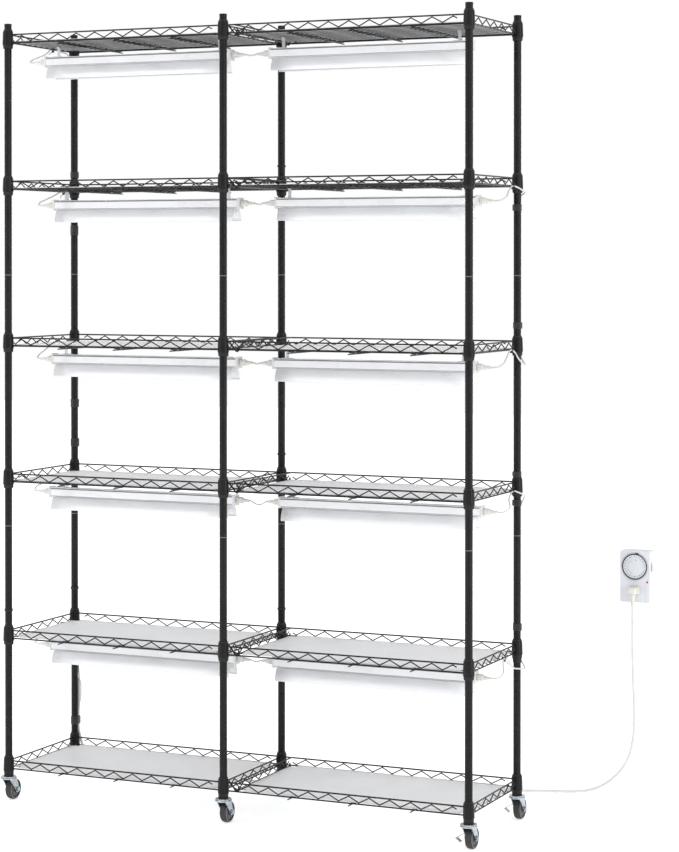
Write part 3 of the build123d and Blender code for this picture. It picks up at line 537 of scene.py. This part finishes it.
def make_connectors():
    """Moulded connectors with a latch, and ribbed strain reliefs that taper to the cord."""
    bm = bmesh.new()
    caps = islands("light_end_caps")
    for low, high in islands("light_connectors"):
        centre = (low + high) / 2
        near = min(caps, key=lambda pair: ((pair[0] + pair[1]) / 2 - centre).length)
        sign = 1 if centre.x > (near[0].x + near[1].x) / 2 else -1
        face = low.x if sign > 0 else high.x
        middle_z = high.z - 0.007
        turn = Matrix.Translation((face, centre.y, middle_z))
        if sign < 0:
            turn = turn @ Matrix.Rotation(math.pi, 4, "Z")
        bevelled_box(bm, (0, -0.0063, -0.0068), (0.0165, 0.0063, 0.0068), 0.0019, turn)
        bevelled_box(bm, (0.0015, -0.003, 0.0062), (0.0135, 0.003, 0.0082), 0.0006, turn)
        for k in range(3):
            x = 0.004 + 0.0035 * k
            bevelled_box(bm, (x, -0.0068, -0.005), (x + 0.0014, 0.0068, 0.005), 0.0004, turn, 1)
        axis = turn @ Matrix.Rotation(math.pi / 2, 4, "Y")
        profile = [(0.0, 0.0160)]
        for k in range(13):
            t = k / 12
            radius = 0.0052 - 0.0027 * t
            rib = 0.0004 if k % 2 else -0.0002
            profile.append((radius + rib, 0.0162 + 0.0188 * t))
        profile += [(0.0021, 0.0358), (0.0, 0.0360)]
        lathe(bm, profile, axis, 24)
    piece = mesh_piece("cord_connectors", bm, [IVORY], "rack")
    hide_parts("light_connectors")


# Straps and ties ------------------------------------------------------------------------------
def hull_outline(circles, count=72):
    """Points of the tight loop round (x, y, radius) circles."""
    around = []
    for step in range(count):
        angle = 2 * math.pi * step / count
        direction = Vector((math.cos(angle), math.sin(angle)))
        best = max(circles, key=lambda c: c[0] * direction.x + c[1] * direction.y + c[2])
        around.append((best[0] + best[2] * direction.x, best[1] + best[2] * direction.y))
    return around


def make_straps():
    """Hook-and-loop straps: the tape laps over itself and ends in a loose rounded tail."""
    rng = random.Random(11)
    bm = bmesh.new()
    posts = [middle(name) for name in ("post_back_left", "post_back_right")]
    for low, high in islands("cord_straps"):
        post = min(posts, key=lambda p: abs(p.x - (low.x + high.x) / 2))
        circles = [(post.x, post.y, 0.0093)]
        if high.y - post.y > 0.0125:
            reach = high.y - post.y - 0.0015
            grow = 0.0037 if reach < 0.0145 else 0.0040
            outward = -1 if post.x < 0 else 1
            circles.append((post.x - outward * 0.0028, post.y + reach - grow, grow))
        start = rng.randrange(72)
        outline = hull_outline(circles)
        turns = 72 + 16
        rows = []
        for k in range(turns):
            x, y = outline[(start + k) % 72]
            away = Vector((x - post.x, y - post.y)).normalized()
            lift = 0.0004 + 0.0011 * min(1, max(0, (k - 66) / 6)) + 0.0010 * max(0, (k - 82) / 6) ** 2
            squeeze = 0.0012 * max(0, (k - turns + 4) / 3)
            point = Vector((x, y)) + away * lift
            rows.append([(point.x, point.y, low.z + squeeze + (high.z - low.z - 2 * squeeze) * j / 6)
                         for j in range(7)])
        strip_between(bm, rows)
    piece = mesh_piece("strap_tapes", bm, [STRAP], "rack")
    thicken(piece, 0.0009)
    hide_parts("cord_straps")


def make_tie_heads():
    """Square lock and cut tail of every cable tie on the side rails."""
    rng = random.Random(3)
    bm = bmesh.new()
    for low, high in islands("cable_ties"):
        if high.y - low.y > 0.006:
            continue
        centre = (low + high) / 2
        side = -1 if centre.x < 0 else 1
        spot = Vector((centre.x + side * 0.0012, centre.y, low.z - 0.0018))
        turn = Matrix.Translation(spot) @ Matrix.Rotation(rng.uniform(-0.3, 0.3), 4, "Y")
        bevelled_box(bm, (-0.0024, -0.0022, -0.0018), (0.0024, 0.0022, 0.0018), 0.0005, turn, 2)
        bend = rng.uniform(0.5, 1.1)
        rows = []
        for k in range(9):
            t = k / 8
            x = side * (0.0020 + 0.010 * t)
            z = -0.0005 - 0.007 * bend * t * t
            rows.append([turn @ Vector((x, -0.0012, z)), turn @ Vector((x, 0.0012, z))])
        strip_between(bm, rows)
    piece = mesh_piece("tie_heads", bm, [MOULDED], "rack")
    thicken(piece, 0.0005)


def make_joint_rims():
    """Thin pale grey rim where two sections of a post meet."""
    bm = bmesh.new()
    for low, high in islands("post_joint_studs"):
        profile = [(0.0080, -0.0009), (0.00895, -0.0008), (0.00895, 0.0008), (0.0080, 0.0009)]
        lathe(bm, profile, Matrix.Translation((low + high) / 2), 32)
    mesh_piece("joint_rims", bm, [BEAD_GREY], "rack")


# Casters --------------------------------------------------------------------------------------
def make_wheel_rings():
    """Paler tread line round each tyre, and the ribbed hub disc on both sides."""
    for name in [key for key in NODES if key.startswith("caster_wheel")]:
        low, high = (Vector(corner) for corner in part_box(name))
        centre = (low + high) / 2
        turn = Matrix.Translation(centre) @ Matrix.Rotation(math.pi / 2, 4, "Y")
        radius = (high.z - low.z) / 2
        bm = bmesh.new()
        for side in (-1, 1):
            flat = turn if side > 0 else turn @ Matrix.Rotation(math.pi, 4, "X")
            lathe(bm, [(0.0089, 0.0072), (0.0092, 0.0079), (0.0100, 0.0081), (0.0160, 0.0077),
                       (0.0168, 0.0074)], flat, 48, 1)
            for k in range(6):
                spoke = flat @ Matrix.Rotation(k * math.pi / 3, 4, "Z")
                bevelled_box(bm, (0.0095, -0.0009, 0.0074), (0.0165, 0.0009, 0.0086), 0.0004, spoke, 1, 1)
            lathe(bm, [(radius - 0.0032, 0.0087), (radius - 0.0030, 0.0089), (radius - 0.0024, 0.0086),
                       (radius - 0.0021, 0.0081)], flat, 64, 0)
        mesh_piece("hub_" + name[13:], bm, [TREAD_LINE, HUB_GREY], "wheel_" + name[13:])


# Timer ----------------------------------------------------------------------------------------
CASE_LOW, CASE_HIGH = (Vector(corner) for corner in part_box("timer_case"))
CASE = (CASE_LOW + CASE_HIGH) / 2
FACE = CASE_LOW.y
DIAL = middle("timer_dial")


def on_dial(radius, clockwise, depth):
    """Point in front of the dial: clockwise from the top in degrees, depth in front of the case."""
    turn = math.radians(clockwise)
    return Vector((DIAL.x + radius * math.sin(turn), FACE - depth, DIAL.z + radius * math.cos(turn)))


def make_numbers():
    """Hours one to twenty-four round the dial, quarter-hour ticks, the arrow and the time mark."""
    bm = bmesh.new()
    for hour in range(1, 25):
        clockwise = -2 + (8 - hour) * 15
        text = bpy.data.curves.new("hour", "FONT")
        text.body = str(hour)
        text.size = 0.0044
        text.align_x = "CENTER"
        text.align_y = "CENTER"
        text.extrude = 0.00004
        text.offset = 0.00006
        holder = bpy.data.objects.new("hour", text)
        bpy.context.scene.collection.objects.link(holder)
        flat = bpy.data.meshes.new_from_object(holder)
        bpy.data.objects.remove(holder)
        place = Matrix.Translation(on_dial(0.0246, clockwise, 0.00156))
        turn = Matrix.Rotation(math.radians(clockwise), 4, "Y") @ Matrix.Rotation(math.pi / 2, 4, "X")
        flat.transform(place @ turn)
        bm.from_mesh(flat)
        bpy.data.meshes.remove(flat)
    for tick in range(96):
        length = 0.0014 if tick % 4 == 0 else 0.0008
        turn = Matrix.Translation((DIAL.x, FACE - 0.00155, DIAL.z)) @ Matrix.Rotation(
            math.radians(tick * 3.75 - 2), 4, "Y")
        bevelled_box(bm, (-0.00012, -0.00005, 0.0286 - length), (0.00012, 0.00005, 0.0286), 0.00002, turn, 1)
    mark = [on_dial(0.0152, 12.5, 0.00256) + Vector((x, y, z)) for y in (0, 0.0002)
            for x, z in ((-0.0015, 0), (0.0015, 0), (0, 0.0030))]
    corners = [bm.verts.new(point) for point in mark]
    bm.faces.new(corners[:3])
    mesh_piece("dial_print", bm, [PRINT], "dial", smooth=False)
    outer = [(0.0190, 200 + 2.4 * k) for k in range(50)]
    head = [(0.0188, 328), (0.0184, 338), (0.0180, 348), (0.0121, 318), (0.0150, 318)]
    inner = [(0.0163, 316 - 2.4 * k) for k in range(49)]
    outline = [on_dial(radius, turn, 0.00255) for radius, turn in outer + head + inner]
    arrow = bpy.data.curves.new("dial_arrow", "CURVE")
    arrow.dimensions = "3D"
    arrow.bevel_depth = 0.00017
    arrow.bevel_resolution = 1
    spline = arrow.splines.new("POLY")
    spline.points.add(len(outline) - 1)
    for control, point in zip(spline.points, outline):
        control.co = (*point, 1)
    spline.use_cyclic_u = True
    arrow.materials.append(PRINT)
    piece = bpy.data.objects.new("dial_arrow", arrow)
    bpy.context.scene.collection.objects.link(piece)
    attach(piece, "dial")


def make_pins():
    """Ninety-six trip pins in their ring."""
    bm = bmesh.new()
    turn = Matrix.Translation((DIAL.x, FACE, DIAL.z)) @ Matrix.Rotation(math.pi / 2, 4, "X")
    lathe(bm, [(0.0290, 0.0006), (0.0292, 0.0009), (0.0311, 0.0009), (0.0313, 0.0006), (0.0313, -0.0030),
               (0.0290, -0.0030), (0.0290, 0.0006)], turn, 96)
    for k in range(96):
        spin = turn @ Matrix.Rotation(math.radians(3.75 * k), 4, "Z")
        bevelled_box(bm, (0.0293, -0.00082, 0.0008), (0.0312, 0.00082, 0.0020), 0.0002, spin, 1)
    piece = mesh_piece("dial_pins", bm, [MOULDED], "dial", smooth=False)
    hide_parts("timer_pins")


def make_bezel():
    """Grey chamfered ring round the dial, with the black time pointer set into its top."""
    bm = bmesh.new()
    turn = Matrix.Translation((DIAL.x, FACE, DIAL.z)) @ Matrix.Rotation(math.pi / 2, 4, "X")
    lathe(bm, [(0.0317, 0.0001), (0.0317, 0.0029), (0.0319, 0.0031), (0.0329, 0.0030), (0.0340, 0.0017),
               (0.0343, 0.0010), (0.0343, 0.0001)], turn, 120, 0)
    for clockwise, low, high, deep in ((12, 0.0310, 0.0338, 0.0033),):
        for k in range(9):
            spin = turn @ Matrix.Rotation(math.radians(90 - clockwise - 7.2 + 1.8 * k), 4, "Z")
            bevelled_box(bm, (low, -0.00055, 0.0022), (high, 0.00055, deep), 0.00015, spin, 1, 1)
    piece = mesh_piece("dial_bezel", bm, [BEZEL_GREY, MOULDED], "rack")
    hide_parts("timer_bezel")


def make_case_seams():
    """Shadow seams of the case: a vertical one under the dial that turns off to the right edge."""
    bm = bmesh.new()
    right = CASE.x + 0.0266
    path = [(right, CASE_LOW.z + 0.0006), (right, CASE.z - 0.0121), (CASE.x + 0.0303, CASE.z - 0.0085)]
    path.append((CASE_HIGH.x - 0.0008, CASE.z - 0.0027))
    for (x1, z1), (x2, z2) in zip(path, path[1:]):
        if x2 > right + 0.001 and x1 < right + 0.001:
            continue
        along = Vector((x2 - x1, 0, z2 - z1))
        angle = math.atan2(along.x, along.z)
        turn = Matrix.Translation((x1, FACE, z1)) @ Matrix.Rotation(angle, 4, "Y")
        bevelled_box(bm, (-0.00022, -0.00008, 0), (0.00022, 0.0002, along.length), 0.00005, turn, 1)
    # Grey patches painted as the shade inside the two outlet slots.
    for side in (-1, 1):
        x = CASE.x + side * 0.0064
        bevelled_box(bm, (x - 0.0014, -0.00006 + FACE, CASE.z - 0.0366),
                     (x + 0.0014, 0.0002 + FACE, CASE.z - 0.0274), 0.0001, None, 1)
    # Painted shadow line round the case where its halves meet.
    bevelled_box(bm, (CASE_LOW.x - 0.00005, CASE.y - 0.0002, CASE_LOW.z + 0.006),
                 (CASE_HIGH.x + 0.00005, CASE.y + 0.0002, CASE_HIGH.z - 0.006), 0.00005, None, 1)
    mesh_piece("case_seams", bm, [SEAM_GREY], "rack", smooth=False)


def make_plug():
    """Angled plug with finger grips and a ribbed strain relief that points down."""
    bm = bmesh.new()
    low, high = (Vector(corner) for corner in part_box("main_plug"))
    x, z = (low.x + high.x) / 2, high.z - 0.0095
    back = FACE - 0.0001
    bevelled_box(bm, (x - 0.0130, back - 0.0090, z - 0.0095), (x + 0.0130, back, z + 0.0095), 0.0036, None, 4)
    bevelled_box(bm, (x - 0.0100, low.y + 0.0006, z - 0.0090), (x + 0.0100, back - 0.0060, z + 0.0085),
                 0.0042, None, 5)
    for k in range(4):
        level = z - 0.0052 + 0.0034 * k
        bevelled_box(bm, (x - 0.0106, low.y + 0.006, level), (x + 0.0106, back - 0.0095, level + 0.0013),
                     0.0005, None, 1)
    relief = Matrix.Translation((x, main_points[-1][1], low.z))
    profile = [(0.0, 0.0), (0.0038, 0.0002)]
    for k in range(15):
        t = k / 14
        rib = 0.0004 if k % 2 else -0.0003
        profile.append((0.0041 + 0.0032 * t + rib, 0.001 + 0.025 * t))
    profile.append((0.0, 0.0275))
    lathe(bm, profile, relief, 32)
    piece = mesh_piece("mains_plug", bm, [IVORY], "rack")
    bm = bmesh.new()
    for side in (-1, 1):
        blade = x + side * 0.00635
        bevelled_box(bm, (blade - 0.00075, back - 0.001, z - 0.0032), (blade + 0.00075, high.y, z + 0.0032),
                     0.0003, None, 1)
    blades = mesh_piece("plug_blades", bm, [BRASS], "rack")
    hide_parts("main_plug")
    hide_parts("main_plug")
    return piece, blades


make_liners()
make_hoods()
make_housing_trim()
make_lamps()
make_connectors()
make_straps()
make_tie_heads()
make_joint_rims()
make_wheel_rings()
make_numbers()
make_pins()
make_bezel()
make_case_seams()
plug_pieces = make_plug()


# Camera and light -----------------------------------------------------------------------------
def set_camera():
    """The camera stands right of the rack, a little above its middle, and looks left along it."""
    data = bpy.data.cameras.new("camera")
    data.sensor_width = 36
    data.lens = 36 * 2406.6 / 852
    data.shift_x = 0.038
    data.shift_y = -0.17
    data.clip_end = 60
    camera = bpy.data.objects.new("camera", data)
    camera.location = (2.5084, -5.1836, 1.3193)
    camera.rotation_euler = (math.radians(89.46), 0, math.radians(24.669))
    bpy.context.scene.collection.objects.link(camera)
    bpy.context.scene.camera = camera


def area_light(name, place, target, size, power):
    data = bpy.data.lights.new(name, "AREA")
    data.shape = "RECTANGLE"
    data.size, data.size_y = size
    data.energy = power
    light = bpy.data.objects.new(name, data)
    light.location = place
    light.rotation_euler = (Vector(target) - Vector(place)).to_track_quat("-Z", "Y").to_euler()
    bpy.context.scene.collection.objects.link(light)


def set_studio():
    """White floor, an even white surround, two large soft lights and two upright strips."""
    world = bpy.data.worlds.new("surround")
    world.use_nodes = True
    backdrop = world.node_tree.nodes["Background"]
    backdrop.inputs["Color"].default_value = (1, 1, 1, 1)
    backdrop.inputs["Strength"].default_value = 1.0
    bpy.context.scene.world = world
    bm = bmesh.new()
    bmesh.ops.create_grid(bm, x_segments=2, y_segments=2, size=14)
    mesh = bpy.data.meshes.new("studio_floor")
    bm.to_mesh(mesh)
    bm.free()
    material, tree, shader = mottled("studio_floor", (0.89, 0.89, 0.89), (0.92, 0.92, 0.92), (0.7, 0.8),
                                     3, 60, 0.0002)
    shader.inputs["Emission Color"].default_value = (1, 1, 1, 1)
    shader.inputs["Emission Strength"].default_value = 0.45
    mesh.materials.append(material)
    floor = bpy.data.objects.new("studio_floor", mesh)
    floor.location = (0, 0, -0.0005)
    bpy.context.scene.collection.objects.link(floor)
    area_light("key_light", (-3.0, -4.5, 4.5), (0, 0, 0.9), (3.0, 3.0), 56)
    area_light("fill_light", (4.0, -3.5, 2.5), (0, 0, 0.9), (3.0, 2.5), 14)
    area_light("left_strip", (-2.6, -4.0, 1.2), (0, 0, 1.0), (0.5, 3.0), 14)
    area_light("right_strip", (4.4, -0.6, 1.2), (0, 0, 1.0), (0.5, 3.0), 36)
    bpy.context.scene.view_settings.view_transform = "Standard"


set_camera()
set_studio()
